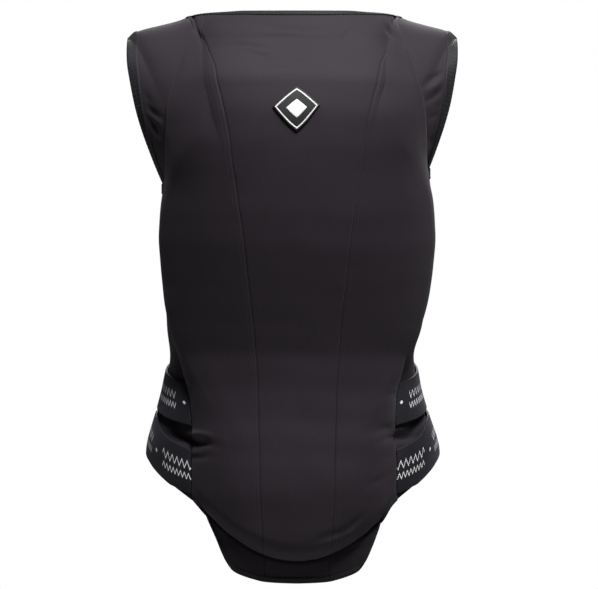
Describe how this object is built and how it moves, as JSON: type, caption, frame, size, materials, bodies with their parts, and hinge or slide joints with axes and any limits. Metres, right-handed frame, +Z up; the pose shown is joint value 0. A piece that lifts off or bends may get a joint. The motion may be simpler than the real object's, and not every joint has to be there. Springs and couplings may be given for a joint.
{
  "type": "rider back protector vest",
  "caption": "Black vest-style back protector with a padded three-panel back, thin sides and front, wide elastic waist straps and a tail flap.",
  "frame": {"origin": "midway between the shoulder tips, on the line of the shoulder seams, inside the neck and chest hollow", "axes": "+X to the wearer's right, which is the viewer's right in the picture's back view, +Y from the back to the front, +Z up"},
  "size_m": [0.352, 0.2346, 0.6051],
  "materials": {
    "shell_cloth": "matte stretch cloth",
    "centre_cloth": "matte stretch cloth",
    "side_cloth": "matte thin stretch cloth",
    "elastic": "ribbed woven elastic",
    "binding": "smooth folded tape",
    "zip": "zip tape and teeth",
    "hook_tape": "hook-and-loop tape",
    "badge_rubber": "moulded matte rubber"
  },
  "bodies": {
    "root": {"back_centre_panel": "centre_cloth", "back_panel_left": "shell_cloth", "back_panel_right": "shell_cloth", "shoulder_panel_left": "side_cloth", "shoulder_panel_right": "side_cloth", "side_panel_left": "side_cloth", "side_panel_right": "side_cloth", "front_panel_left": "side_cloth", "front_panel_right": "side_cloth", "front_zip": "zip", "waist_strap_upper_left": "elastic", "waist_strap_upper_right": "elastic", "waist_strap_lower_left": "elastic", "waist_strap_lower_right": "elastic", "waist_tab_upper": "hook_tape", "waist_tab_lower": "hook_tape", "armhole_binding_left": "binding", "armhole_binding_right": "binding", "neck_binding": "binding", "tail_binding": "binding", "badge": "badge_rubber"}
  },
  "joints": []
}
